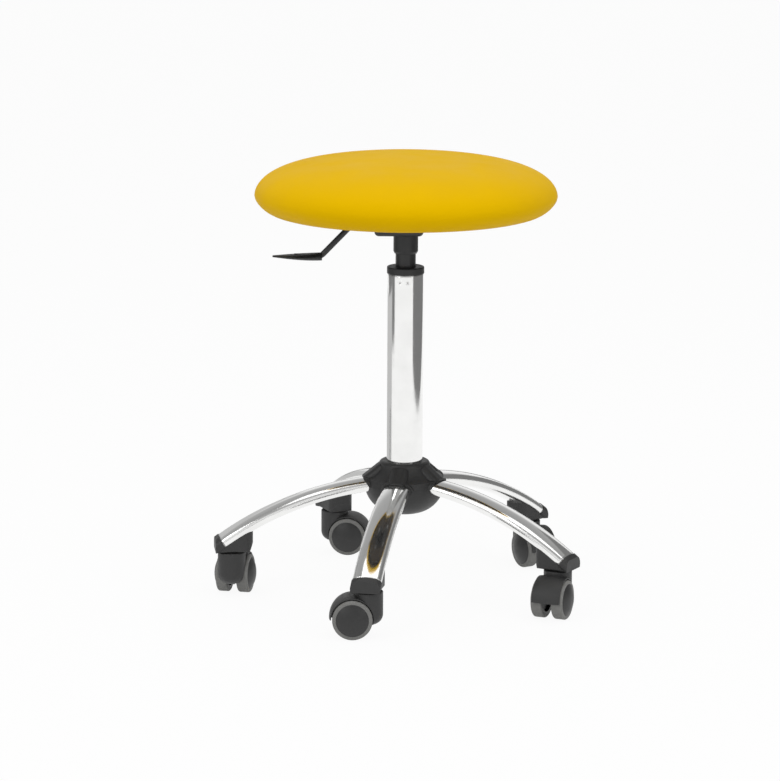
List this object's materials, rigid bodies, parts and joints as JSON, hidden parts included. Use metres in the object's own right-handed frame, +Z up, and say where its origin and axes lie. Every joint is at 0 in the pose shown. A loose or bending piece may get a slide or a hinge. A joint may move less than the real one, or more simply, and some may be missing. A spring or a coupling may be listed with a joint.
{
  "type": "medical stool",
  "caption": "Rolling medical stool: round padded yellow seat on a gas-lift column with a release lever, over a chromed base of arched legs with swivel casters.",
  "frame": {"origin": "on the floor, under the column's axis", "axes": "+Z up along the column; the lever points to -X and the sitter faces -Y"},
  "size_m": [0.5056, 0.5143, 0.6098],
  "materials": {
    "yellow_vinyl": "smooth semi-gloss upholstery vinyl",
    "foam": "open foam",
    "plywood": "raw plywood",
    "black_steel": "black powder coat",
    "zinc_steel": "zinc plated",
    "bright_steel": "bare turned steel",
    "chrome": "polished chrome plate",
    "black_plastic": "satin moulded polymer",
    "grey_tread": "matte soft tread"
  },
  "bodies": {
    "base": {"column_tube": "chrome", "column_bush": "black_plastic", "thrust_bearing": "bright_steel", "hub_sleeve": "bright_steel", "hub_cover": "black_plastic", "hub_bowl": "black_plastic", "caster_stems": "zinc_steel", "leg_1": "chrome", "leg_2": "chrome", "leg_3": "chrome", "leg_4": "chrome", "leg_5": "chrome", "leg_socket_1": "black_plastic", "leg_socket_2": "black_plastic", "leg_socket_3": "black_plastic", "leg_socket_4": "black_plastic", "leg_socket_5": "black_plastic"},
    "lift_rod": {"piston_rod": "bright_steel", "rod_clip": "zinc_steel"},
    "seat": {"seat_cover": "yellow_vinyl", "seat_foam": "foam", "seat_board": "plywood", "seat_screws": "zinc_steel", "seat_plate": "black_steel", "taper_socket": "black_steel", "lever_pivot_pin": "zinc_steel", "gas_cylinder": "black_steel"},
    "lever": {"lever_rod": "black_steel", "lever_handle": "black_plastic"},
    "valve_pin": {"release_pin": "zinc_steel"},
    "caster_1": {"caster_hood_1": "black_plastic", "caster_axle_1": "bright_steel"},
    "wheel_left_1": {"wheel_left_1": "black_plastic", "tread_left_1": "grey_tread"},
    "wheel_right_1": {"wheel_right_1": "black_plastic", "tread_right_1": "grey_tread"},
    "caster_2": {"caster_hood_2": "black_plastic", "caster_axle_2": "bright_steel"},
    "wheel_left_2": {"wheel_left_2": "black_plastic", "tread_left_2": "grey_tread"},
    "wheel_right_2": {"wheel_right_2": "black_plastic", "tread_right_2": "grey_tread"},
    "caster_3": {"caster_hood_3": "black_plastic", "caster_axle_3": "bright_steel"},
    "wheel_left_3": {"wheel_left_3": "black_plastic", "tread_left_3": "grey_tread"},
    "wheel_right_3": {"wheel_right_3": "black_plastic", "tread_right_3": "grey_tread"},
    "caster_4": {"caster_hood_4": "black_plastic", "caster_axle_4": "bright_steel"},
    "wheel_left_4": {"wheel_left_4": "black_plastic", "tread_left_4": "grey_tread"},
    "wheel_right_4": {"wheel_right_4": "black_plastic", "tread_right_4": "grey_tread"},
    "caster_5": {"caster_hood_5": "black_plastic", "caster_axle_5": "bright_steel"},
    "wheel_left_5": {"wheel_left_5": "black_plastic", "tread_left_5": "grey_tread"},
    "wheel_right_5": {"wheel_right_5": "black_plastic", "tread_right_5": "grey_tread"}
  },
  "joints": [
    {"name": "seat_swivel", "type": "hinge", "parent": "base", "child": "lift_rod", "pos_m": [0, 0, 0.45206], "axis": [0, 0, 1], "continuous": true},
    {"name": "seat_lift", "type": "slide", "parent": "lift_rod", "child": "seat", "axis": [0, 0, 1], "range_m": [0, 0.2]},
    {"name": "lever_pull", "type": "hinge", "parent": "seat", "child": "lever", "pos_m": [-0.03, 0, 0.52256], "axis": [0, 1, 0], "range_deg": [0, 5.5]},
    {"name": "pin_press", "type": "slide", "parent": "seat", "child": "valve_pin", "axis": [0, 0, -1], "range_m": [0, 0.003]},
    {"name": "caster_swivel_1", "type": "hinge", "parent": "base", "child": "caster_1", "pos_m": [-0.04763, -0.23625, 0.0633], "axis": [0, 0, 1], "continuous": true},
    {"name": "wheel_roll_left_1", "type": "hinge", "parent": "caster_1", "child": "wheel_left_1", "pos_m": [-0.06914, -0.23625, 0.027], "axis": [0, -1, 0], "continuous": true},
    {"name": "wheel_roll_right_1", "type": "hinge", "parent": "caster_1", "child": "wheel_right_1", "pos_m": [-0.06914, -0.23625, 0.027], "axis": [0, -1, 0], "continuous": true},
    {"name": "caster_swivel_2", "type": "hinge", "parent": "base", "child": "caster_2", "pos_m": [0.20996, -0.11831, 0.0633], "axis": [0, 0, 1], "continuous": true},
    {"name": "wheel_roll_left_2", "type": "hinge", "parent": "caster_2", "child": "wheel_left_2", "pos_m": [0.20191, -0.13824, 0.027], "axis": [0.9272, -0.3746, 0], "continuous": true},
    {"name": "wheel_roll_right_2", "type": "hinge", "parent": "caster_2", "child": "wheel_right_2", "pos_m": [0.20191, -0.13824, 0.027], "axis": [0.9272, -0.3746, 0], "continuous": true},
    {"name": "caster_swivel_3", "type": "hinge", "parent": "base", "child": "caster_3", "pos_m": [0.1774, 0.16313, 0.0633], "axis": [0, 0, 1], "continuous": true},
    {"name": "wheel_roll_left_3", "type": "hinge", "parent": "caster_3", "child": "wheel_left_3", "pos_m": [0.18782, 0.14432, 0.027], "axis": [0.8746, 0.4848, 0], "continuous": true},
    {"name": "wheel_roll_right_3", "type": "hinge", "parent": "caster_3", "child": "wheel_right_3", "pos_m": [0.18782, 0.14432, 0.027], "axis": [0.8746, 0.4848, 0], "continuous": true},
    {"name": "caster_swivel_4", "type": "hinge", "parent": "base", "child": "caster_4", "pos_m": [-0.10032, 0.21913, 0.0633], "axis": [0, 0, 1], "continuous": true},
    {"name": "wheel_roll_left_4", "type": "hinge", "parent": "caster_4", "child": "wheel_left_4", "pos_m": [-0.07903, 0.21613, 0.027], "axis": [0.1392, 0.9903, 0], "continuous": true},
    {"name": "wheel_roll_right_4", "type": "hinge", "parent": "caster_4", "child": "wheel_right_4", "pos_m": [-0.07903, 0.21613, 0.027], "axis": [0.1392, 0.9903, 0], "continuous": true},
    {"name": "caster_swivel_5", "type": "hinge", "parent": "base", "child": "caster_5", "pos_m": [-0.2394, -0.0277, 0.0633], "axis": [0, 0, 1], "continuous": true},
    {"name": "wheel_roll_left_5", "type": "hinge", "parent": "caster_5", "child": "wheel_left_5", "pos_m": [-0.2353, -0.0066, 0.027], "axis": [-0.9816, 0.1908, 0], "continuous": true},
    {"name": "wheel_roll_right_5", "type": "hinge", "parent": "caster_5", "child": "wheel_right_5", "pos_m": [-0.2353, -0.0066, 0.027], "axis": [-0.9816, 0.1908, 0], "continuous": true}
  ],
  "couplings": [
    {"joint": "pin_press", "follows": "lever_pull", "m_per_rad": 0.03}
  ]
}
